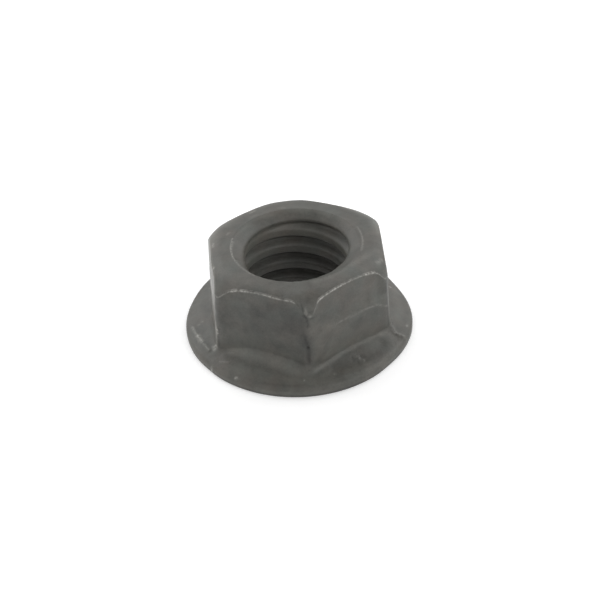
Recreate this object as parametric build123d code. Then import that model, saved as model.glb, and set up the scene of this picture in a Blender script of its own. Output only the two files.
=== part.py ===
from build123d import *
import os
from math import cos, radians, tan

# Wheel nut with a flange forged in one piece with its hexagon. Millimetres, +Z up.
# The origin is the centre of the bearing face, on the thread's axis. One corner points along -Y.

# Thread of 3/8 inch with 16 turns to the inch, here a plain bore at its minor diameter
thread_major = 9.525
thread_pitch = 1.5875
thread_depth_on_diameter = 1.0825  # in pitches
bore_clearance = 0.13
countersink_clearance = 0.14
countersink_slope = 30.0

# Hexagon
height = 7.35
across_flats = 13.47
draft = 3.6
corner_radius = 0.85
crown_slope = 5.0
corner_slope = 60.0
shoulder_clearance = 1.69
shoulder_radius = 1.8
crown_margin = 1.0  # how far the turned envelope of the crown reaches past the corners

# Flange
flange_overhang = 1.173
rim_thickness = 0.65
rim_upper_radius = 0.42
rim_lower_chamfer = 0.12
dish_slope = 22.0
dish_hollow = 0.06
foot_fillet = 0.33

# Sizes that follow from those above
bore_radius = (thread_major - thread_depth_on_diameter * thread_pitch + bore_clearance) / 2
countersink_radius = (thread_major + countersink_clearance) / 2
across_corners = across_flats / cos(radians(30))
flange_radius = across_corners / 2 + flange_overhang
shoulder_place = countersink_radius + shoulder_clearance
dish_top = rim_thickness + (flange_radius - bore_radius) * tan(radians(dish_slope))


def drafted_hexagon():
    """Hexagon with rounded corners that narrows upwards, as it leaves the forging die."""
    narrowing = height * tan(radians(draft))
    with BuildPart() as body:
        for z, inset in ((0, 0), (height, narrowing)):
            with BuildSketch(Plane.XY.offset(z)) as section:
                RegularPolygon(across_flats / 2 - inset, 6, major_radius=False, rotation=30)
                fillet(section.vertices(), corner_radius)
        loft(ruled=True)
    return body.part


def crown():
    """Turned envelope: a low dome round the countersink, and a steep fall at the corners."""
    outside = across_corners / 2 + crown_margin
    shoulder_height = height - shoulder_clearance * tan(radians(crown_slope))
    lowest = shoulder_height - (outside - shoulder_place) * tan(radians(corner_slope))
    with BuildPart() as body:
        with BuildSketch(Plane.XZ) as section:
            with BuildLine():
                Polyline(
                    (0, 0),
                    (0, height),
                    (countersink_radius, height),
                    (shoulder_place, shoulder_height),
                    (outside, lowest),
                    (outside, 0),
                    close=True,
                )
            make_face()
            shoulder = section.vertices().sort_by_distance((shoulder_place, shoulder_height))[0]
            fillet(shoulder, shoulder_radius)
        revolve(axis=Axis.Z)
    return body.part


def flange():
    """Thin disc with a rounded rim, dished up to the foot of the hexagon."""
    middle = (flange_radius + bore_radius) / 2
    middle_height = (rim_thickness + dish_top) / 2 - dish_hollow
    with BuildPart() as body:
        with BuildSketch(Plane.XZ) as section:
            with BuildLine():
                Polyline(
                    (bore_radius, dish_top),
                    (0, dish_top),
                    (0, 0),
                    (flange_radius, 0),
                    (flange_radius, rim_thickness),
                )
                ThreePointArc(
                    (flange_radius, rim_thickness),
                    (middle, middle_height),
                    (bore_radius, dish_top),
                )
            make_face()
            lower_edge = section.vertices().sort_by_distance((flange_radius, 0))[0]
            chamfer(lower_edge, rim_lower_chamfer)
            upper_edge = section.vertices().sort_by_distance((flange_radius, rim_thickness))[0]
            fillet(upper_edge, rim_upper_radius)
        revolve(axis=Axis.Z)
    return body.part


def foot_edges(body):
    """Edges where the flats and corners of the hexagon run into the dish of the flange."""
    found = []
    for edge in body.edges():
        middle = edge.position_at(0.5)
        reach = (middle.X**2 + middle.Y**2) ** 0.5
        if reach < across_corners / 2 and rim_thickness < middle.Z < dish_top:
            found.append(edge)
    return found


def countersink():
    """Cone that opens one end of the bore, with its wide end at the origin, facing down."""
    depth = (countersink_radius - bore_radius) * tan(radians(countersink_slope))
    return Cone(countersink_radius, bore_radius, depth, align=(Align.CENTER, Align.CENTER, Align.MIN))


def wheel_nut():
    body = flange() + (drafted_hexagon() & crown())
    body = fillet(foot_edges(body), foot_fillet)
    body -= Cylinder(bore_radius, height, align=(Align.CENTER, Align.CENTER, Align.MIN))
    body -= countersink()
    body -= Plane((0, 0, height), z_dir=(0, 0, -1)) * countersink()
    return body


os.makedirs("parts", exist_ok=True)
nut = wheel_nut()
nut.label = "wheel_nut"
export_step(nut, "parts/wheel_nut.step")
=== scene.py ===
import math
from collections import namedtuple

import bpy
import numpy as np
from mathutils import Matrix, Vector, noise


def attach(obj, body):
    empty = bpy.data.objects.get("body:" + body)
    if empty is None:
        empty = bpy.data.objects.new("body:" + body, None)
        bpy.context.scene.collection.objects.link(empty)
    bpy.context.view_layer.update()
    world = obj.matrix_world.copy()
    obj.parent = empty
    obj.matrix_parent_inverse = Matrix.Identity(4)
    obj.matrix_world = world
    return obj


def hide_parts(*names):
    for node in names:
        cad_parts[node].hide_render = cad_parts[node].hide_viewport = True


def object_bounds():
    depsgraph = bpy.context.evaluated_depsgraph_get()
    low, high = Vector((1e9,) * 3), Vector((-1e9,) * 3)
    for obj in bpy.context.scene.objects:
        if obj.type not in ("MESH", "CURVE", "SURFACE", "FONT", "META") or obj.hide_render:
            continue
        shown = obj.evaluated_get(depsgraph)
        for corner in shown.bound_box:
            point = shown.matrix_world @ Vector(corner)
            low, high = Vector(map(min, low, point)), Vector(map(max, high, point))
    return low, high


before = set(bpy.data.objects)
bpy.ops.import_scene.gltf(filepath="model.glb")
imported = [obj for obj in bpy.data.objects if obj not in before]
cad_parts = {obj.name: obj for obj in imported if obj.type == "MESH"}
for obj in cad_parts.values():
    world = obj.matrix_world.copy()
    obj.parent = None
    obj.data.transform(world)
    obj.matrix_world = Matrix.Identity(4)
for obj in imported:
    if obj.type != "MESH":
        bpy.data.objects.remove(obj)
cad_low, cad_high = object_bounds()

# A dark phosphated wheel nut with a forged flange. Lengths are in millimetres until the
# mesh is written in metres. Angles round the axis are counted from the hexagon's front
# corner, which points along -Y, and grow anticlockwise seen from above. Tables hold them
# in degrees.

# A millimetre in metres, and a sixth of a turn
MM = 0.001
SIXTH = math.pi / 3

# Sizes read from the frame
FLANGE_RADIUS = (cad_high[0] - cad_low[0]) / 2 / MM
HEIGHT = cad_high[2] / MM

# Thread of 3/8 inch with 16 turns to the inch. Crest and root are flat over a share of the
# pitch, and the groove's corners are rounded
PITCH = 1.5875
ROOT_RADIUS = 4.66
CREST_RADIUS = 3.968
CREST_SHARE = 0.38
ROOT_SHARE = 0.125
ROUNDING = 0.15
THREAD_START = 0.927

# The groove runs out between two depths below either end, and deeper on the left side
FADE_DEPTHS = (0.18, 1.2)
FADE_SIDE = math.radians(-95)
FADE_LEAN = 0.5

# Countersinks at both ends
SINK_RADIUS = 4.8325
SINK_SLOPE = math.radians(30)

# What forging has left uneven: (angle, half width, size) in degrees and millimetres. The
# swells of the bore's lip fade with depth below the top
LIP_DEPTHS = (1.3, 0.35)
LIP_SWELLS = (
    (-42, 24, 0.85),
    (-10, 16, 0.35),
    (42, 24, -0.07),
)
SHOULDER_SWELLS = (
    (114, 20, 0.57),
    (85, 18, 0.12),
    (155, 22, 0.25),
    (190, 25, 0.14),
    (-120, 15, 0.25),
    (-9, 6, 0.40),
)
SIDE_LEANS = (
    (112, 21, 0.56),
    (-118, 18, 0.12),
)
SIDE_SWELLS = (
    (-60, 7, 0.07),
    (75, 16, 0.08),
    (86, 14, 0.10),
    (-86, 14, 0.14),
    (-118, 18, 0.09),
)
RIM_SWELLS = (
    (-5, 45, 0.06),
    (70, 17, 0.12),
    (42, 8, -0.05),
    (-57, 7, -0.05),
    (108, 16, -0.12),
    (-112, 16, -0.05),
)
RIM_SAGS = (
    (106, 18, -0.16),
    (-108, 16, -0.10),
    (-12, 40, 0.05),
)

# The back of the bore's upper lip stands a little to the right of the axis
BACK_LIP_OFFSET = 0.17
BACK_LIP_HEIGHTS = (5.5, 6.8)
BACK_LIP_RADII = (4.1, 4.6)
BACK_LIP_Y = (-1.5, 2.0)

# Hexagon with a low domed crown that falls steeply at the corners
HALF_FLATS = 6.735
HALF_CORNERS = 2 * HALF_FLATS / math.sqrt(3)
DRAFT = math.radians(3.6)
CORNER_RADIUS = 0.85
CROWN_SLOPE = math.radians(5)
CORNER_SLOPE = math.radians(60)
SHOULDER_CLEARANCE = 1.69
SHOULDER_PLACE = SINK_RADIUS + SHOULDER_CLEARANCE
SHOULDER_RADIUS = 1.8
EDGE_ROUND = 0.13

# Flange
RIM_THICKNESS = 0.65
RIM_UPPER_RADIUS = 0.42
RIM_LOWER_RADIUS = 0.12
DISH_SLOPE = math.radians(22)
DISH_HOLLOW = 0.06

# Foot of the hexagon, with its reach out over the dish and up the side. Below the front
# left flat it is a broad bevel, below the front right one it is tight, and below the left
# corner it stays low
FOOT_OUT = 0.42
FOOT_UP = 0.36
BROAD_FOOT_OUT = 0.70
BROAD_FOOT_UP = 0.46
BROAD_FOOT_BEVEL = 0.75
TIGHT_FOOT_OUT = 0.30
TIGHT_FOOT_UP = 0.14
BROAD_FOOT = (-42, -5)
TIGHT_FOOT = (4, 56)
LOW_FOOT = (-68, -48)
FOOT_RAMP = 14

# Step across the front right flat, whose upper half lies deeper
STEP_DEPTH = 0.23
STEP_ENDS = (5, 56)
STEP_RAMP = 5
STEP_ANGLES = (5, 10, 26, 41, 47, 58)
STEP_LOWER = (3.8, 4.1, 4.33, 4.28, 4.2, 3.5)
STEP_UPPER = (4.75, 4.75, 4.80, 4.94, 5.06, 5.0)

# Marks that forging, handling and use have left, together with painted light and shade. Each follows a line
# of places with a half width in millimetres. A place is an angle in degrees with a radius, on the top and
# the dish, or with a height, on the sides. A dent is in millimetres, inwards if negative. Wear and tone
# are shares, and a negative tone is darker. The tone holds painted light and shade as well as the coating's
# own tone.
Mark = namedtuple("Mark", "face places width dent wear tone")
MARKS = (
    # Rubbed line on the countersink's edge, rubbed places on the crown, darker places over its front, and
    # painted highlights along its right shoulder and its back left edge
    Mark("top", ((-108, 4.86), (-85, 4.86), (-72, 4.87)), 0.06, 0.0, 0.42, 0.0),
    Mark("top", ((-72, 4.87), (-55, 4.87), (-44, 4.87)), 0.06, 0.0, 0.22, 0.0),
    Mark("top", ((106, 5.15), (90, 5.08), (70, 5.00)), 0.07, 0.0, 0.24, 0.0),
    # Painted highlight along the crown's right shoulder
    Mark("top", ((96, 6.60), (112, 7.00), (135, 6.60)), 0.38, 0.0, 0.10, 0.42),
    Mark("top", ((47, 4.95), (58, 5.20), (66, 5.60)), 0.28, 0.0, 0.08, 0.20),
    Mark("top", ((62, 6.40), (67, 6.60)), 0.14, 0.0, 0.20, 0.15),
    Mark("top", ((-12, 5.50), (8, 5.50)), 0.80, 0.0, 0.0, -0.14),
    Mark("top", ((-48, 6.10), (-25, 6.05)), 0.22, 0.0, 0.0, -0.10),
    Mark("top", ((-76, 6.50),), 0.10, 0.0, 0.7, 0.0),
    Mark("top", ((-101, 6.35), (-120, 6.70)), 0.40, 0.0, 0.06, 0.30),
    Mark("top", ((-126, 6.20), (-152, 6.10), (-165, 6.30)), 0.45, 0.0, 0.02, 0.30),
    Mark("top", ((-160, 6.50), (-176, 6.60)), 0.25, 0.0, 0.04, 0.20),
    Mark("top", ((-62, 6.90), (-70, 6.60)), 0.30, 0.0, 0.0, 0.16),
    Mark("top", ((61, 6.65), (72, 6.50)), 0.30, 0.0, 0.0, 0.12),
    Mark("top", ((10, 5.00), (24, 4.95), (40, 4.95)), 0.20, 0.0, 0.05, 0.12),
    Mark("top", ((-99, 6.25), (-103, 6.30)), 0.10, 0.0, 0.35, 0.15),
    Mark("top", ((-113, 5.45), (-116, 5.40)), 0.09, 0.0, 0.12, 0.20),
    Mark("top", ((-148, 5.70), (-153, 5.80)), 0.10, 0.0, 0.25, 0.20),
    Mark("top", ((-145, 5.15), (-150, 5.10)), 0.14, 0.0, 0.06, 0.16),
    Mark("top", ((-150, 6.20), (-160, 6.50), (-170, 6.85)), 0.22, 0.0, 0.18, 0.34),
    Mark("top", ((-172, 5.20), (-177, 5.10)), 0.10, 0.0, 0.10, 0.15),
    Mark("top", ((-106, 6.75), (-122, 6.90), (-136, 6.40)), 0.22, 0.0, 0.12, 0.28),
    # Torn skin at the front corner, with painted shadow along the left of the corner's edge
    Mark("top", ((-1.9, 7.05), (-1.2, 7.10)), 0.09, 0.05, 0.25, 0.22),
    Mark("top", ((0.3, 7.28), (1.1, 7.30)), 0.09, 0.04, 0.20, 0.20),
    Mark("side", ((0.3, 6.08), (1.1, 6.02)), 0.09, 0.04, 0.20, 0.20),
    Mark("top", ((-3.5, 6.65), (1.0, 6.60)), 0.28, 0.0, 0.0, -0.14),
    Mark("top", ((-4.0, 6.85), (-3.4, 6.98)), 0.09, -0.04, 0.0, -0.30),
    Mark("side", ((-2.6, 6.11), (-1.1, 5.82), (-0.7, 5.24)), 0.09, -0.05, 0.0, -0.35),
    Mark("side", ((1.5, 5.85), (6.0, 5.70)), 0.07, -0.03, 0.0, -0.25),
    Mark("side", ((2.0, 5.45), (4.0, 4.98), (1.0, 4.43)), 0.30, -0.08, 0.0, 0.18),
    Mark("side", ((4.0, 4.85), (16.0, 4.40)), 0.22, 0.0, 0.0, 0.12),
    # Painted shadow along the left of the corner's edge, down towards its foot
    Mark("side", ((-6.5, 5.30), (-6.0, 2.00)), 0.55, 0.0, 0.0, -0.18),
    Mark("side", ((-3.2, 5.50), (-2.8, 3.90)), 0.28, 0.0, 0.0, -0.14),
    Mark("side", ((-2.6, 4.20), (-1.2, 3.20)), 0.12, -0.06, 0.0, -0.22),
    Mark("side", ((-1.0, 3.20), (-1.1, 1.85)), 0.15, -0.10, 0.0, -0.34),
    Mark("side", ((-1.5, 3.80), (-1.5, 1.90)), 0.40, 0.0, 0.0, -0.12),
    # Ridge between the front left flat and the left one: worn, with a painted highlight along it
    Mark("side", ((-82, 4.60), (-66, 2.60)), 0.80, 0.0, 0.38, 0.45),
    Mark("side", ((-68, 5.60), (-65, 3.60)), 0.35, 0.0, 0.20, 0.30),
    Mark("side", ((-62.4, 3.40), (-61.8, 2.50), (-61.8, 1.20)), 0.20, 0.0, 0.55, 0.20),
    Mark("side", ((-60.2, 3.00), (-59.8, 2.60)), 0.11, 0.04, 0.85, 0.20),
    Mark("side", ((-58.4, 3.10), (-58.7, 1.50)), 0.11, -0.03, 0.0, -0.45),
    # Front left flat: painted shade over most of it, and painted light at its foot
    Mark("side", ((-52, 4.80), (-10, 4.60)), 1.90, 0.0, 0.0, -0.24),
    Mark("side", ((-30, 5.50), (-6, 5.30)), 0.90, 0.0, 0.0, -0.18),
    Mark("side", ((-26, 6.25), (-14, 6.45), (-4, 6.15)), 0.45, 0.0, 0.0, -0.18),
    Mark("side", ((-30, 2.60), (-18, 3.20)), 0.60, 0.0, 0.0, -0.10),
    Mark("side", ((-47, 2.20), (-38, 2.20)), 0.40, 0.0, 0.0, -0.08),
    Mark("side", ((-56, 1.45), (-42, 1.75)), 0.25, 0.0, 0.0, 0.18),
    # Front right flat, with the step across it, and painted light low on the flat
    Mark("side", ((8, 5.60), (26, 5.20)), 0.90, 0.0, 0.0, -0.08),
    Mark("side", ((10, 4.50), (26, 4.55), (41, 4.60), (57, 4.45)), 0.32, 0.0, 0.0, 0.20),
    Mark("side", ((10, 1.95), (52, 1.95)), 0.30, 0.0, 0.0, 0.14),
    Mark(
        "side", ((17.5, 4.36), (30, 4.30), (44.5, 4.26), (51, 4.18), (58.5, 3.55)),
        0.06, 0.02, 0.15, 0.08,
    ),
    Mark("side", ((34, 3.70), (55, 3.30)), 0.55, 0.0, 0.0, -0.12),
    Mark("side", ((8, 2.40), (40, 2.30)), 0.60, 0.0, 0.0, 0.12),
    Mark("side", ((58.6, 5.60), (59.0, 1.80)), 0.10, 0.0, 0.0, -0.40),
    Mark("side", ((64.5, 4.30), (63.0, 1.70)), 0.14, 0.0, 0.32, 0.20),
    # Foot of the front right flat and the scoop below it, with painted light on the band below the scoop
    # and a painted highlight along the rim's edge
    Mark(
        "dish", ((2, 7.60), (10, 7.12), (22, 6.76), (34, 6.72), (47, 7.00), (56, 7.45)),
        0.10, 0.03, 0.05, 0.14,
    ),
    Mark("dish", ((52, 7.25), (57, 7.60)), 0.20, 0.0, 0.10, 0.20),
    Mark("dish", ((14, 7.55), (33, 7.70), (47, 7.75)), 0.52, -0.13, 0.0, -0.07),
    Mark("dish", ((15, 7.30), (33, 7.70)), 0.25, 0.0, 0.0, -0.08),
    Mark("dish", ((10, 7.85), (20, 8.10), (32, 8.30)), 0.25, 0.0, 0.0, 0.16),
    Mark("dish", ((26.4, 7.30), (27.2, 7.90)), 0.06, -0.05, 0.0, -0.40),
    Mark("dish", ((29.0, 7.35), (31.5, 7.95)), 0.05, 0.02, 0.25, 0.10),
    Mark("dish", ((31.6, 7.50), (31.8, 8.00)), 0.08, -0.05, 0.0, -0.35),
    Mark("dish", ((17, 8.50), (30, 8.72), (54, 8.75)), 0.22, 0.02, 0.06, 0.16),
    # Ridge from the right corner to the rim, and the dish beside it
    Mark("dish", ((66, 7.35), (59.4, 8.07), (59.8, 8.70)), 0.16, 0.09, 0.20, 0.0),
    Mark("dish", ((98, 8.00), (72, 7.95)), 0.60, 0.0, 0.0, 0.34),
    Mark("dish", ((84, 8.85), (60, 8.80)), 0.20, 0.0, 0.0, 0.16),
    Mark("dish", ((70, 7.25), (62, 7.75), (58.6, 8.20)), 0.08, -0.02, 0.0, -0.30),
    # Foot of the front left flat, the crease below the left corner and the dish round them, with painted
    # light on the foot's band, on the front of the dish and along the rim's edge
    Mark("dish", ((-105, 8.20), (-92, 7.80), (-75, 7.60)), 0.45, 0.0, 0.0, 0.14),
    Mark("dish", ((-50, 7.15), (-40, 6.95), (-31, 6.90), (-20, 7.00), (-8, 7.45)), 0.28, 0.0, 0.04, 0.28),
    Mark("dish", ((-51, 7.35), (-47, 7.20)), 0.12, 0.05, 0.12, 0.10),
    Mark("dish", ((-86, 8.42), (-73.4, 8.20), (-63, 8.15)), 0.16, 0.07, 0.0, 0.05),
    Mark("dish", ((-85, 8.42), (-73.4, 8.20)), 0.14, 0.0, 0.24, 0.12),
    Mark("dish", ((-77, 8.25), (-71.5, 8.19)), 0.17, 0.0, 0.50, 0.15),
    Mark("dish", ((-68.5, 8.16), (-63, 8.15)), 0.12, 0.0, 0.22, 0.12),
    Mark("dish", ((-96, 8.70), (-80, 8.65), (-66, 8.55)), 0.25, 0.0, 0.0, 0.12),
    Mark("dish", ((-88, 7.90), (-78, 7.80)), 0.25, 0.0, 0.0, -0.15),
    Mark("dish", ((-84.8, 8.00), (-86.4, 7.57)), 0.06, 0.01, 0.16, 0.18),
    Mark("dish", ((-87.5, 8.13), (-89.8, 7.86)), 0.08, 0.0, 0.0, -0.14),
    Mark("dish", ((-52, 7.30), (-42, 7.00)), 0.24, 0.0, 0.02, 0.12),
    Mark("dish", ((-55, 8.10), (-39, 8.30)), 0.45, 0.0, 0.0, 0.08),
    Mark("dish", ((-80, 8.85), (-44, 8.88)), 0.16, 0.0, 0.0, 0.22),
    Mark("dish", ((-52, 8.31), (-48, 8.01)), 0.06, 0.01, 0.12, 0.10),
    Mark("dish", ((-26, 8.62), (-6, 8.55)), 0.07, -0.01, 0.0, -0.14),
    Mark("dish", ((-40, 8.15), (4, 8.20)), 0.60, 0.0, 0.0, 0.24),
    # Bare specks
    Mark("dish", ((-38.2, 8.80),), 0.09, 0.0, 1.0, 0.0),
    Mark("dish", ((-54.0, 8.93),), 0.08, 0.0, 0.8, 0.0),
    Mark("dish", ((-4.0, 8.21),), 0.07, 0.0, 0.4, 0.0),
    Mark("dish", ((12.3, 8.05),), 0.07, 0.0, 0.4, 0.0),
    Mark("dish", ((68.8, 8.69),), 0.09, 0.0, 0.9, 0.0),
    Mark("dish", ((102.2, 7.93),), 0.10, 0.0, 0.8, 0.0),
)

# Painted light and shade in the bore: paler near its upper end, most of all on its left wall, and darker
# deeper down
BORE_DEPTHS = (0.6, 1.6, 3.2, 5.0)
BORE_PAINTED_LIGHT = (0.45, 0.33, 0.02, -0.30)
BORE_PAINTED_LIGHT_START = (0.3, 1.0)
BORE_LEFT_PAINTED_LIGHT = 0.45
BORE_LEFT = (-115, 50)

# Painted highlight: a pale ring along the back of the countersink's edge, with its arc's from, to and ramp
# in degrees
SINK_RING_PAINTED_HIGHLIGHT = 0.34
SINK_RING_DEPTHS = (0.12, 0.18)
SINK_RING_ARC = (125, 250, 50)

# Painted contact shadow: the rim is darker where it meets the bearing face
RIM_FOOT_PAINTED_SHADOW = -0.50
RIM_FOOT_HEIGHTS = (0.10, 0.35)

# The left flat is rubbed smooth, and its paleness is a painted sheen
LEFT_FLAT = (-118, -62)
LEFT_FLAT_RAMP = 2
LEFT_FLAT_PAINTED_SHEEN = 0.30

# Wear along the flats' upper edges: (angle in degrees, share)
EDGE_WEAR = (
    (-180, 0.25), (-60, 0.25), (-57, 0.35), (-52, 0.55), (-50, 1.0), (-47.5, 1.0), (-46.2, 0.2), (-45, 0.9),
    (-36, 0.7), (-23, 0.8), (-16.5, 0.6), (-15, 0.15), (-13.5, 0.7), (-8.5, 0.8), (-6.5, 0.0), (2, 0.0),
    (3, 0.15), (5, 0.3), (8, 1.0), (11, 0.6), (14, 0.75), (21, 0.95), (28.5, 0.9), (30.5, 0.15), (33, 0.85),
    (38, 0.55), (44, 0.6), (46.5, 1.0), (52, 1.0), (54.7, 0.6), (57.4, 0.3), (60, 0.25), (180, 0.25),
)

# Rows over the rounded upper edge. Its ridge has the whole of that wear, and the rows beside
# it have a share of its square
EDGE_ZONES = ("edge", "ridge", "edge", "edge")
EDGE_WEAR_SHARE = 0.4

# Zones of the skin that the marks of each face reach
FACES = {
    "top": ("crown", "edge", "ridge"),
    "side": ("side", "edge", "ridge", "foot"),
    "dish": ("dish", "rim", "foot"),
}

# Slight unevenness of the forged skin: its size in each zone, the waves that make it up as
# (waves to the millimetre, share), and the height above the bearing face where it sets in
WAVES = {
    "crown": 0.020,
    "edge": 0.020,
    "ridge": 0.020,
    "side": 0.022,
    "foot": 0.025,
    "dish": 0.030,
    "rim": 0.012,
}
WAVE_SCALES = ((0.55, 1.0), (1.7, 0.5), (4.5, 0.2))
WAVE_START = 0.3

# How finely the mesh is divided: columns round the axis, closer together at the corners,
# and rows along each part of the profile
COLUMNS = 420
CORNER_CROWDING = 0.45
BEARING_ROWS = 9
LOWER_RIM_ROWS = 3
LAND_ROWS = 3
UPPER_RIM_ROWS = 6
DISH_ROWS = 16
FOOT_ROWS = 7
SIDE_ROWS = 44
CROWN_ROWS = 30

# Rows of the thread climb with it, from below one end to above the other
ROWS_PER_TURN = 12
TURNS_BELOW = 1.5
EXTRA_TURNS = 3

# Places that agree to this many decimals share a vertex
SAME_PLACE = 6

# Stands in for the squared length of a mark that is a single place
NO_LENGTH = 1e-9

# Search for the heights at which the side meets the dish and the crown: first guesses, and
# the number of rounds that brings them close
FOOT_GUESS = 1.6
EDGE_GUESS = 7.0
SEARCH_ROUNDS = 30


def smooth(low, high, value):
    """0 below low, 1 above high, and a soft ramp between them."""
    t = np.clip((value - low) / (high - low), 0, 1)
    return t * t * (3 - 2 * t)


def turned_from(centre, degrees):
    """Angle from one place on the circle to another, between -180 and 180 degrees."""
    return (degrees - centre + 180) % 360 - 180


def bell(angle, centre, width):
    """Bell-shaped share of 1 about one place on the circle, given in degrees."""
    return np.exp(-((turned_from(centre, np.degrees(angle)) / width) ** 2))


def swelling(angle, swells):
    """Sum of the swells and hollows round the circle."""
    return sum(size * bell(angle, centre, width) for centre, width, size in swells)


def stretch(angle, first, last, ramp):
    """1 between two places on the circle, given in degrees, with soft ends."""
    middle = (first + last) / 2
    half = (last - first) / 2
    away = np.abs(turned_from(middle, np.degrees(angle)))
    return 1 - smooth(half - ramp / 2, half + ramp / 2, away)


def column_angles():
    """Angles of the mesh's columns, closer together at the six corners."""
    even = np.arange(COLUMNS) * 2 * math.pi / COLUMNS
    return even - CORNER_CROWDING * np.sin(6 * even) / 6


def flat_step(angle, z):
    """How much deeper the upper half of the front right flat lies."""
    place = turned_from(0, np.degrees(angle))
    lower = np.interp(place, STEP_ANGLES, STEP_LOWER)
    upper = np.interp(place, STEP_ANGLES, STEP_UPPER)
    return STEP_DEPTH * smooth(lower, upper, z) * stretch(angle, *STEP_ENDS, STEP_RAMP)


def hexagon_radius(angle, z):
    """Distance from the axis to the drafted hexagon with rounded corners."""
    half = HALF_FLATS - z * math.tan(DRAFT)
    from_corner = np.abs((angle + SIXTH / 2) % SIXTH - SIXTH / 2)
    centre = (half - CORNER_RADIUS) / math.cos(SIXTH / 2)
    round_side = CORNER_RADIUS * math.sin(SIXTH / 2)
    round_end = np.arctan2(round_side, centre + CORNER_RADIUS * math.cos(SIXTH / 2))
    flat = half / np.cos(SIXTH / 2 - from_corner)
    inside = np.maximum(CORNER_RADIUS**2 - (centre * np.sin(from_corner)) ** 2, 0)
    rounded = centre * np.cos(from_corner) + np.sqrt(inside)
    lean = swelling(angle, SIDE_LEANS) * z / HEIGHT + swelling(angle, SIDE_SWELLS)
    return np.where(from_corner < round_end, rounded, flat) + lean - flat_step(angle, z)


def crown_height(angle, radius):
    """Height of the top: a low dome, a round shoulder and a steep fall at the corners."""
    radius = radius - swelling(angle, SHOULDER_SWELLS) * smooth(SINK_RADIUS, SHOULDER_PLACE, radius)
    shoulder_height = HEIGHT - SHOULDER_CLEARANCE * math.tan(CROWN_SLOPE)
    reach = SHOULDER_RADIUS * math.tan((CORNER_SLOPE - CROWN_SLOPE) / 2)
    start = SHOULDER_PLACE - reach * math.cos(CROWN_SLOPE)
    start_height = shoulder_height + reach * math.sin(CROWN_SLOPE)
    end = SHOULDER_PLACE + reach * math.cos(CORNER_SLOPE)
    end_height = shoulder_height - reach * math.sin(CORNER_SLOPE)
    centre = start - SHOULDER_RADIUS * math.sin(CROWN_SLOPE)
    centre_height = start_height - SHOULDER_RADIUS * math.cos(CROWN_SLOPE)
    dome = start_height + (start - radius) * math.tan(CROWN_SLOPE)
    inside = np.maximum(SHOULDER_RADIUS**2 - (radius - centre) ** 2, 0)
    shoulder = centre_height + np.sqrt(inside)
    fall = end_height - (radius - end) * math.tan(CORNER_SLOPE)
    return np.where(radius < start, dome, np.where(radius < end, shoulder, fall))


def dish_height(angle, radius):
    """Height of the flange's slightly hollow upper side."""
    middle = (FLANGE_RADIUS + CREST_RADIUS) / 2
    half = (FLANGE_RADIUS - CREST_RADIUS) / 2
    hollow = DISH_HOLLOW * (1 - ((radius - middle) / half) ** 2)
    height = RIM_THICKNESS + (FLANGE_RADIUS - radius) * math.tan(DISH_SLOPE) - hollow
    return height + swelling(angle, RIM_SAGS) * smooth(HALF_CORNERS, FLANGE_RADIUS, radius)


def meeting_height(angle, surface, guess):
    """Height at which the hexagon's side meets a turned surface, at each angle."""
    z = np.full_like(angle, guess)
    for _ in range(SEARCH_ROUNDS):
        z = surface(angle, hexagon_radius(angle, z))
    return z


def steps(start, end, count, keep_first=False):
    """Values from start to end, without the first one unless it is kept."""
    shares = np.linspace(0, 1, count + 1)
    shares = shares if keep_first else shares[1:]
    return start + (end - start) * shares


def bend(first, corner, last, count):
    """Rows of a round bend between two points, pulled towards the corner."""
    rows = []
    for t in steps(0, 1, count):
        weights = ((1 - t) ** 2, 2 * t * (1 - t), t * t)
        radius = sum(weight * point[0] for weight, point in zip(weights, (first, corner, last)))
        height = sum(weight * point[1] for weight, point in zip(weights, (first, corner, last)))
        rows.append((radius, height))
    return rows


def rim_rows(angle):
    """Rows from the lower countersink's edge across the bearing face and round the rim."""
    rim_radius = FLANGE_RADIUS + swelling(angle, RIM_SWELLS)
    rows = []
    for share in steps(0, 1, BEARING_ROWS, keep_first=True):
        rows.append((SINK_RADIUS + (rim_radius - RIM_LOWER_RADIUS - SINK_RADIUS) * share, 0, "bearing"))
    for turn in steps(0, math.pi / 2, LOWER_RIM_ROWS):
        out = rim_radius - RIM_LOWER_RADIUS * (1 - math.sin(turn))
        rows.append((out, RIM_LOWER_RADIUS * (1 - math.cos(turn)), "rim"))
    reach = RIM_UPPER_RADIUS * math.tan((math.pi / 2 - DISH_SLOPE) / 2)
    land_top = RIM_THICKNESS + swelling(angle, RIM_SAGS) - reach
    for share in steps(0, 1, LAND_ROWS):
        rows.append((rim_radius, RIM_LOWER_RADIUS + (land_top - RIM_LOWER_RADIUS) * share, "rim"))
    for turn in steps(0, math.pi / 2 - DISH_SLOPE, UPPER_RIM_ROWS):
        out = rim_radius - RIM_UPPER_RADIUS * (1 - math.cos(turn))
        rows.append((out, land_top + RIM_UPPER_RADIUS * math.sin(turn), "rim"))
    return rows


def dish_rows(angle, start_radius, start_height, end_radius):
    """Rows over the dish, from where the rim's bend leaves off to the foot of the hexagon."""
    gap = dish_height(angle, start_radius) - start_height
    rows = []
    for share in steps(0, 1, DISH_ROWS):
        radius = start_radius + (end_radius - start_radius) * share
        rows.append((radius, dish_height(angle, radius) - gap * (1 - share), "dish"))
    return rows


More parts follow.
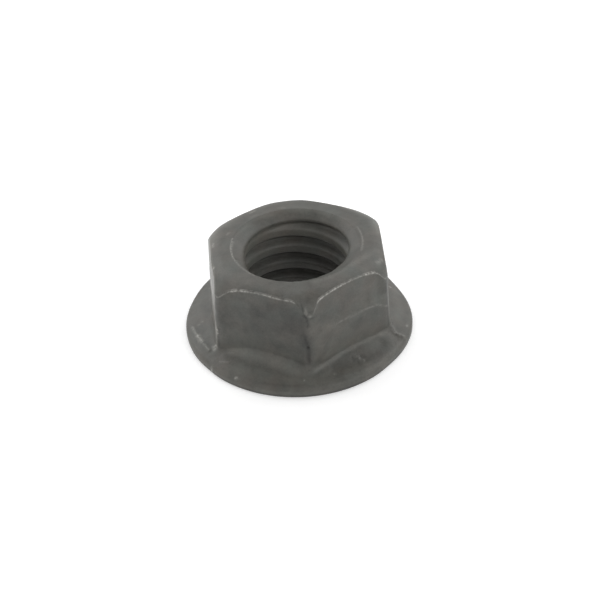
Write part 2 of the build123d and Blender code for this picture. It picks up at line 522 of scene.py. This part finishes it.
def foot_points(angle):
    """Lower end, corner and upper end of the foot's fillet or bevel."""
    height = meeting_height(angle, dish_height, FOOT_GUESS)
    radius = hexagon_radius(angle, height)
    broad = stretch(angle, *BROAD_FOOT, FOOT_RAMP)
    tight = stretch(angle, *TIGHT_FOOT, FOOT_RAMP)
    low = stretch(angle, *LOW_FOOT, FOOT_RAMP)
    out = FOOT_OUT + (BROAD_FOOT_OUT - FOOT_OUT) * broad + (TIGHT_FOOT_OUT - FOOT_OUT) * tight
    up = FOOT_UP + (BROAD_FOOT_UP - FOOT_UP) * broad + (TIGHT_FOOT_UP - FOOT_UP) * (tight + low)
    lower = (radius + out, dish_height(angle, radius + out))
    upper = (hexagon_radius(angle, height + up), height + up)
    bevel = BROAD_FOOT_BEVEL * broad
    corner_radius = radius + bevel * ((lower[0] + upper[0]) / 2 - radius)
    corner_height = height + bevel * ((lower[1] + upper[1]) / 2 - height)
    return lower, (corner_radius, corner_height), upper


def side_rows(angle, start, end):
    """Rows up the side of the hexagon."""
    rows = []
    for share in steps(0, 1, SIDE_ROWS):
        height = start + (end - start) * share
        rows.append((hexagon_radius(angle, height), height, "side"))
    return rows


def crown_rows(angle, edge):
    """Rows over the side's rounded upper edge and across the crown to the countersink."""
    edge_radius = hexagon_radius(angle, edge)
    crown_end = edge_radius - EDGE_ROUND
    first = (hexagon_radius(angle, edge - EDGE_ROUND), edge - EDGE_ROUND)
    last = (crown_end, crown_height(angle, crown_end))
    rows = []
    for zone, (radius, height) in zip(EDGE_ZONES, bend(first, (edge_radius, edge), last, len(EDGE_ZONES))):
        rows.append((radius, height, zone))
    for share in steps(0, 1, CROWN_ROWS):
        radius = crown_end + (SINK_RADIUS - crown_end) * share
        rows.append((radius, crown_height(angle, radius), "crown"))
    return rows


def outer_rows(angle):
    """Rows of (radius, height, zone) from the lower countersink's edge out and up to the upper one."""
    lower, corner, upper = foot_points(angle)
    edge = meeting_height(angle, crown_height, EDGE_GUESS)
    rows = rim_rows(angle)
    dish_start, rim_top, _ = rows[-1]
    rows += dish_rows(angle, dish_start, rim_top, lower[0])
    rows += [(radius, height, "foot") for radius, height in bend(lower, corner, upper, FOOT_ROWS)]
    rows += side_rows(angle, upper[1], edge - EDGE_ROUND)
    rows += crown_rows(angle, edge)
    ones = np.ones_like(angle)
    return [(radius * ones, height * ones, zone) for radius, height, zone in rows]


def thread_radius(angle, z):
    """Distance from the axis to the threaded wall, opened by a countersink at both ends."""
    turn = (z / PITCH - angle / (2 * math.pi) + THREAD_START) % 1.0
    from_crest = np.minimum(turn, 1 - turn)
    flank = 0.5 - CREST_SHARE / 2 - ROOT_SHARE / 2
    share = smooth(-ROUNDING, 1 + ROUNDING, (from_crest - CREST_SHARE / 2) / flank)
    depth = np.minimum(z, HEIGHT - z)
    lean = FADE_LEAN * (1 + np.cos(angle - FADE_SIDE)) / 2
    wall = CREST_RADIUS + (ROOT_RADIUS - CREST_RADIUS) * share * smooth(*FADE_DEPTHS, depth - lean)
    near_top = smooth(HEIGHT - LIP_DEPTHS[0], HEIGHT - LIP_DEPTHS[1], z)
    wall = np.minimum(wall + swelling(angle, LIP_SWELLS) * near_top, SINK_RADIUS)
    cone = SINK_RADIUS - depth / math.tan(SINK_SLOPE)
    return np.maximum(wall, cone)


class Skin:
    """Vertices, as angle, radius and height, and faces of a closed skin, with each vertex's zone."""

    def __init__(self, angle):
        self.angle = angle
        self.places = []
        self.zones = []
        self.faces = []
        self.index = {}

    def vertex(self, column, radius, height, zone):
        """Number of the vertex at a place, which is new if no row has been there."""
        key = (column, round(float(radius), SAME_PLACE), round(float(height), SAME_PLACE))
        if key not in self.index:
            self.index[key] = len(self.places)
            self.places.append((float(self.angle[column]), float(radius), float(height)))
            self.zones.append(zone)
        return self.index[key]


def add_outside(skin):
    """Faces between the rows of the outer profile."""
    rows = []
    for radius, height, zone in outer_rows(skin.angle):
        rows.append([skin.vertex(c, radius[c], height[c], zone) for c in range(COLUMNS)])
    for lower, upper in zip(rows, rows[1:]):
        for c in range(COLUMNS):
            n = (c + 1) % COLUMNS
            skin.faces.append((lower[c], lower[n], upper[n], upper[c]))


def add_bore(skin):
    """Faces of the threaded wall, whose rows climb with the thread and end level."""
    lead = skin.angle / (2 * math.pi) * PITCH

    def wall_vertex(step, column, wraps):
        z = (step / ROWS_PER_TURN - TURNS_BELOW + wraps) * PITCH + lead[column]
        z = min(max(z, 0.0), HEIGHT)
        return skin.vertex(column, thread_radius(skin.angle[column], np.float64(z)), z, "thread")

    for step in range((int(HEIGHT / PITCH) + EXTRA_TURNS) * ROWS_PER_TURN):
        for c in range(COLUMNS):
            n = (c + 1) % COLUMNS
            wraps = 1 if n == 0 else 0
            corners = [
                wall_vertex(step, c, 0),
                wall_vertex(step + 1, c, 0),
                wall_vertex(step + 1, n, wraps),
                wall_vertex(step, n, wraps),
            ]
            ring = [v for k, v in enumerate(corners) if v != corners[k - 1]]
            if len(set(ring)) >= 3:
                skin.faces.append(tuple(ring))


def along_mark(mark, degrees, place):
    """Share of a mark at each vertex, 1 on its line and fading over its half width."""
    mean_place = sum(spot[1] for spot in mark.places) / len(mark.places)
    arc = math.radians(HALF_FLATS if mark.face == "side" else mean_place)
    nearest = np.full_like(degrees, np.inf)
    for start, end in zip(mark.places, mark.places[1:] or mark.places):
        x = turned_from(start[0], degrees) * arc
        y = place - start[1]
        step_x = (end[0] - start[0]) * arc
        step_y = end[1] - start[1]
        length = max(step_x**2 + step_y**2, NO_LENGTH)
        share = np.clip((x * step_x + y * step_y) / length, 0, 1)
        nearest = np.minimum(nearest, np.hypot(x - share * step_x, y - share * step_y))
    return np.exp(-((nearest / mark.width) ** 2))


def marked(polar, zones):
    """Dent, wear and tone of every vertex, from the marks, the tone with its painted light and shade."""
    angle, radius, height = polar.T
    degrees = np.degrees(angle)
    dent, wear, tone = np.zeros((3, len(polar)))
    for mark in MARKS:
        place = height if mark.face == "side" else radius
        share = along_mark(mark, degrees, place) * np.isin(zones, FACES[mark.face])
        dent += mark.dent * share
        wear = np.maximum(wear, mark.wear * share)
        tone += mark.tone * share
    return dent, wear, tone


def edge_wear(angle, zones):
    """Wear along the flats' upper edges."""
    along_edge = np.interp(turned_from(0, np.degrees(angle)), *zip(*EDGE_WEAR))
    return along_edge * (zones == "ridge") + EDGE_WEAR_SHARE * along_edge**2 * (zones == "edge")


def bore_painted_light(angle, depth):
    """Painted light and shade on the bore's wall, and a painted highlight on the countersink's edge."""
    wall = np.interp(depth, BORE_DEPTHS, BORE_PAINTED_LIGHT) + BORE_LEFT_PAINTED_LIGHT * bell(angle, *BORE_LEFT)
    ring = SINK_RING_PAINTED_HIGHLIGHT * (1 - smooth(*SINK_RING_DEPTHS, depth)) * stretch(angle, *SINK_RING_ARC)
    return wall * smooth(*BORE_PAINTED_LIGHT_START, depth) + ring


def waves(points, zones):
    """Slight unevenness of the forged skin, in millimetres."""
    size = np.array([WAVES.get(zone, 0.0) for zone in zones])
    rough = np.array([
        sum(share * noise.noise(Vector(point) * scale) for scale, share in WAVE_SCALES) for point in points
    ])
    return size * rough * smooth(0.0, WAVE_START, points[:, 2])


def turned_to_space(polar):
    """Points in x, y and z from angle, radius and height. Angle 0 is along -Y."""
    angle, radius, height = polar.T
    return np.stack([radius * np.sin(angle), -radius * np.cos(angle), height], axis=1)


def back_lip(polar, points):
    """1 on the back of the bore's upper lip, and less away from it."""
    near_top = smooth(*BACK_LIP_HEIGHTS, points[:, 2])
    near_axis = 1 - smooth(*BACK_LIP_RADII, polar[:, 1])
    return near_top * near_axis * smooth(*BACK_LIP_Y, points[:, 1])


def vertex_normals(mesh):
    """Directions square to the skin at its vertices."""
    normals = np.empty(len(mesh.vertices) * 3)
    mesh.vertex_normals.foreach_get("vector", normals)
    return normals.reshape(-1, 3)


def nut_piece():
    """The nut as one closed mesh, with its marks in the skin."""
    skin = Skin(column_angles())
    add_outside(skin)
    add_bore(skin)
    polar = np.array(skin.places)
    zones = np.array(skin.zones)
    angle, _, height = polar.T
    points = turned_to_space(polar)
    mesh = bpy.data.meshes.new("nut_body")
    mesh.from_pydata((points * MM).tolist(), [], skin.faces)
    mesh.validate()
    mesh.update()

    # The marks' tone holds painted light and shade as well as the coating's own tone
    dent, wear, tone = marked(polar, zones)
    wear = np.maximum(wear, edge_wear(angle, zones))
    left_flat = stretch(angle, *LEFT_FLAT, LEFT_FLAT_RAMP) * np.isin(zones, ("side", "edge", "ridge"))
    # Painted sheen on the left flat
    tone += LEFT_FLAT_PAINTED_SHEEN * left_flat
    # Painted contact shadow at the rim's foot
    tone += RIM_FOOT_PAINTED_SHADOW * (zones == "rim") * (1 - smooth(*RIM_FOOT_HEIGHTS, height))
    # Painted light and shade in the bore, and a painted highlight on the countersink's edge
    tone += bore_painted_light(angle, HEIGHT - height) * (zones == "thread")

    points += vertex_normals(mesh) * (dent + waves(points, zones))[:, None]
    points[:, 0] += BACK_LIP_OFFSET * back_lip(polar, points)
    mesh.vertices.foreach_set("co", (points * MM).ravel())
    for name, values in (("wear", wear), ("tone", tone), ("gloss", left_flat)):
        mesh.attributes.new(name, "FLOAT", "POINT").data.foreach_set("value", values)
    mesh.polygons.foreach_set("use_smooth", [True] * len(mesh.polygons))
    mesh.update()
    piece = bpy.data.objects.new("nut_body", mesh)
    bpy.context.scene.collection.objects.link(piece)
    return piece


# Coating and bare steel, as linear colours
COATING_WARM = (0.090, 0.078, 0.066, 1)
COATING_COOL = (0.068, 0.077, 0.069, 1)
BARE_STEEL = (0.46, 0.45, 0.42, 1)

# Patterns in the coating: (scale, detail, distortion), with scales to the millimetre
HUE = (0.6, 2, 0.0)
CLOUDS = (0.9, 4, 0.4)
GRAIN = (4.5, 3, 0.0)
SPECKS = (9, 2, 0.0)
RAGGED = (6, 3, 0.0)

# How much each pattern brightens and darkens the coating
CLOUDS_SIZE = 0.85
GRAIN_SIZE = 0.36
SPECKS_SIZE = 0.26

# Bare steel shows in ragged patches: the pattern's range, and the least share in its gaps
RAGGED_RANGE = (0.35, 0.60)
RAGGED_LEAST = 0.25
BARE_METALLIC = 0.6

# Roughness of the coating, and how much smoother the bare steel and the left flat are
ROUGHNESS = 0.50
GRAIN_ROUGHNESS = 0.2
BARE_SMOOTHNESS = 0.12
GLOSS_SMOOTHNESS = 0.12

# Fine relief of the grain, with its height in millimetres and the specks' share in it
BUMP_STRENGTH = 0.2
BUMP_HEIGHT = 0.02
SPECKS_BUMP = 0.6


class Nodes:
    """Makes and joins the nodes of one material, with patterns measured in millimetres."""

    def __init__(self, tree):
        self.tree = tree
        self.millimetres = self.node("Mapping")
        self.millimetres.inputs["Scale"].default_value = (1 / MM, 1 / MM, 1 / MM)
        self.join(self.node("TexCoord").outputs["Object"], self.millimetres.inputs["Vector"])

    def node(self, kind, **settings):
        """New node of a kind."""
        made = self.tree.nodes.new("ShaderNode" + kind)
        for name, value in settings.items():
            setattr(made, name, value)
        return made

    def join(self, source, target):
        """Link from an output to an input."""
        self.tree.links.new(source, target)

    def math(self, operation, first, second):
        """Result of an operation on two values, each a number or an output."""
        made = self.node("Math", operation=operation)
        for socket, value in zip(made.inputs, (first, second)):
            if isinstance(value, (int, float)):
                socket.default_value = value
            else:
                self.join(value, socket)
        return made.outputs[0]

    def pattern(self, scale, detail, distortion):
        """Cloudy pattern with values round 0.5."""
        made = self.node("TexNoise")
        made.inputs["Scale"].default_value = scale
        made.inputs["Detail"].default_value = detail
        made.inputs["Distortion"].default_value = distortion
        self.join(self.millimetres.outputs[0], made.inputs["Vector"])
        return made.outputs["Fac"]

    def attribute(self, name):
        """Value that the mesh holds at its vertices."""
        return self.node("Attribute", attribute_name=name).outputs["Fac"]

    def centred(self, value, size):
        """Pattern moved to lie round 0, and scaled."""
        return self.math("MULTIPLY", self.math("SUBTRACT", value, 0.5), size)


def coating_colour(nodes, grain, specks):
    """Colour of the coating, uneven in hue and brightness, with painted light and shade from the marks."""
    brightness = nodes.math("ADD", nodes.attribute("tone"), 1.0)
    clouds = nodes.pattern(*CLOUDS)
    for pattern, size in ((clouds, CLOUDS_SIZE), (grain, GRAIN_SIZE), (specks, SPECKS_SIZE)):
        brightness = nodes.math("ADD", brightness, nodes.centred(pattern, size))
    coating = nodes.node("Mix", data_type="RGBA")
    coating.inputs["A"].default_value = COATING_WARM
    coating.inputs["B"].default_value = COATING_COOL
    nodes.join(nodes.pattern(*HUE), coating.inputs["Factor"])
    toned = nodes.node("VectorMath", operation="SCALE")
    nodes.join(coating.outputs["Result"], toned.inputs[0])
    nodes.join(brightness, toned.inputs["Scale"])
    return toned.outputs[0]


def bare_share(nodes):
    """Share of bare steel, ragged where the coating is rubbed."""
    ragged = nodes.node("MapRange")
    ragged.inputs["From Min"].default_value = RAGGED_RANGE[0]
    ragged.inputs["From Max"].default_value = RAGGED_RANGE[1]
    ragged.inputs["To Min"].default_value = RAGGED_LEAST
    nodes.join(nodes.pattern(*RAGGED), ragged.inputs["Value"])
    return nodes.math("MULTIPLY", nodes.attribute("wear"), ragged.outputs["Result"])


def coated_steel():
    """Dark phosphate coating, uneven in colour and with painted light and shade, with steel showing where
    it is rubbed off.
    """
    material = bpy.data.materials.new("phosphated_steel")
    material.use_nodes = True
    shader = material.node_tree.nodes["Principled BSDF"]
    nodes = Nodes(material.node_tree)
    grain = nodes.pattern(*GRAIN)
    specks = nodes.pattern(*SPECKS)
    bare = bare_share(nodes)

    colour = nodes.node("Mix", data_type="RGBA")
    nodes.join(bare, colour.inputs["Factor"])
    nodes.join(coating_colour(nodes, grain, specks), colour.inputs["A"])
    colour.inputs["B"].default_value = BARE_STEEL
    nodes.join(colour.outputs["Result"], shader.inputs["Base Color"])
    nodes.join(nodes.math("MULTIPLY", bare, BARE_METALLIC), shader.inputs["Metallic"])

    rough = nodes.math("ADD", nodes.centred(grain, GRAIN_ROUGHNESS), ROUGHNESS)
    bare_smooth = nodes.math("MULTIPLY", bare, BARE_SMOOTHNESS)
    gloss_smooth = nodes.math("MULTIPLY", nodes.attribute("gloss"), GLOSS_SMOOTHNESS)
    smoother = nodes.math("ADD", bare_smooth, gloss_smooth)
    nodes.join(nodes.math("SUBTRACT", rough, smoother), shader.inputs["Roughness"])

    bump = nodes.node("Bump")
    bump.inputs["Strength"].default_value = BUMP_STRENGTH
    bump.inputs["Distance"].default_value = BUMP_HEIGHT * MM
    relief = nodes.math("ADD", grain, nodes.math("MULTIPLY", specks, SPECKS_BUMP))
    nodes.join(relief, bump.inputs["Height"])
    nodes.join(bump.outputs["Normal"], shader.inputs["Normal"])
    return material


# Camera, from the outlines in the photograph. Its distance and aim are in flange radii
CAMERA_AZIMUTH = math.radians(-5.87)
CAMERA_ELEVATION = math.radians(38.19)
CAMERA_ROLL = math.radians(-2.31)
CAMERA_DISTANCE = 8.0 * FLANGE_RADIUS
AIM_HEIGHT = 0.5 * FLANGE_RADIUS
PIXELS_PER_RADIUS = 116.2
AIM_PIXEL = (296.7, 274.1)
PICTURE = 600
SENSOR_WIDTH = 36
CLIP_START = 0.001


def direction(azimuth, elevation):
    """Direction from the nut. Azimuth 0 is along -Y and grows anticlockwise seen from above."""
    level = math.cos(elevation)
    return Vector((math.sin(azimuth) * level, -math.cos(azimuth) * level, math.sin(elevation)))


def place_camera():
    """Camera at the photograph's viewing angle, looking level with its picture centre."""
    roll = CAMERA_ROLL
    back = direction(CAMERA_AZIMUTH, CAMERA_ELEVATION)
    right = Vector((math.cos(CAMERA_AZIMUTH), math.sin(CAMERA_AZIMUTH), 0))
    up = back.cross(right)
    across = AIM_PIXEL[0] - PICTURE / 2
    above = PICTURE / 2 - AIM_PIXEL[1]
    aim_right = math.cos(roll) * across - math.sin(roll) * above
    aim_up = math.sin(roll) * across + math.cos(roll) * above
    scale = FLANGE_RADIUS / PIXELS_PER_RADIUS
    place = Vector((0, 0, AIM_HEIGHT)) + CAMERA_DISTANCE * back
    place -= right * aim_right * scale + up * aim_up * scale
    camera_right = math.cos(roll) * right + math.sin(roll) * up
    camera_up = -math.sin(roll) * right + math.cos(roll) * up
    data = bpy.data.cameras.new("camera")
    data.sensor_width = SENSOR_WIDTH
    data.lens = PIXELS_PER_RADIUS * CAMERA_DISTANCE / FLANGE_RADIUS * SENSOR_WIDTH / PICTURE
    data.clip_start = CLIP_START
    camera = bpy.data.objects.new("camera", data)
    axes = Matrix((camera_right, camera_up, back)).transposed().to_4x4()
    camera.matrix_world = Matrix.Translation(place * MM) @ axes
    bpy.context.scene.collection.objects.link(camera)
    bpy.context.scene.camera = camera


# Softboxes: (name, azimuth from the camera's side, elevation, power). Degrees and watts.
# Their distance and size are in metres
LAMPS = (
    ("front_left", -50, 35, 0.08),
    ("front_right", 50, 35, 0.29),
    ("left", -90, 25, 0.14),
    ("right", 90, 25, 0.09),
    ("back_left", -135, 35, 0.44),
    ("back", 180, 38, 0.15),
    ("back_right", 135, 35, 0.36),
)
LAMP_DISTANCE = 0.36
LAMP_SIZE = 0.25
SURROUNDINGS = 0.48
WHITE = (1, 1, 1, 1)

# Floor, with half its width in metres
FLOOR_REACH = 1.5
FLOOR_COLOUR = (0.9, 0.9, 0.9, 1)
FLOOR_ROUGHNESS = 0.8
FLOOR_SPECULAR = 0.2
FLOOR_GLOW = 0.3


def softbox(name, azimuth, elevation, power):
    """Square lamp that faces the nut."""
    data = bpy.data.lights.new(name, "AREA")
    data.shape = "SQUARE"
    data.size = LAMP_SIZE
    data.energy = power
    lamp = bpy.data.objects.new(name, data)
    place = direction(CAMERA_AZIMUTH + math.radians(azimuth), math.radians(elevation))
    lamp.location = place * LAMP_DISTANCE
    lamp.rotation_euler = (-place).to_track_quat("-Z", "Y").to_euler()
    bpy.context.scene.collection.objects.link(lamp)


def pale_floor():
    """Plain floor under the nut, bright enough to leave only a soft shadow."""
    reach = FLOOR_REACH
    corners = [(-reach, -reach, 0), (reach, -reach, 0), (reach, reach, 0), (-reach, reach, 0)]
    mesh = bpy.data.meshes.new("floor")
    mesh.from_pydata(corners, [], [(0, 1, 2, 3)])
    floor = bpy.data.objects.new("floor", mesh)
    bpy.context.scene.collection.objects.link(floor)
    material = bpy.data.materials.new("floor")
    material.use_nodes = True
    shader = material.node_tree.nodes["Principled BSDF"]
    shader.inputs["Base Color"].default_value = FLOOR_COLOUR
    shader.inputs["Roughness"].default_value = FLOOR_ROUGHNESS
    shader.inputs["Specular IOR Level"].default_value = FLOOR_SPECULAR
    shader.inputs["Emission Color"].default_value = WHITE
    shader.inputs["Emission Strength"].default_value = FLOOR_GLOW
    mesh.materials.append(material)


def studio():
    """Pale floor, pale surroundings and soft lamps."""
    pale_floor()
    world = bpy.data.worlds.new("studio")
    world.use_nodes = True
    background = world.node_tree.nodes["Background"]
    background.inputs["Color"].default_value = WHITE
    background.inputs["Strength"].default_value = SURROUNDINGS
    bpy.context.scene.world = world
    bpy.context.scene.view_settings.view_transform = "Standard"
    for lamp in LAMPS:
        softbox(*lamp)


nut = nut_piece()
nut.data.materials.append(coated_steel())
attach(nut, "root")
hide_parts("wheel_nut")
studio()
place_camera()
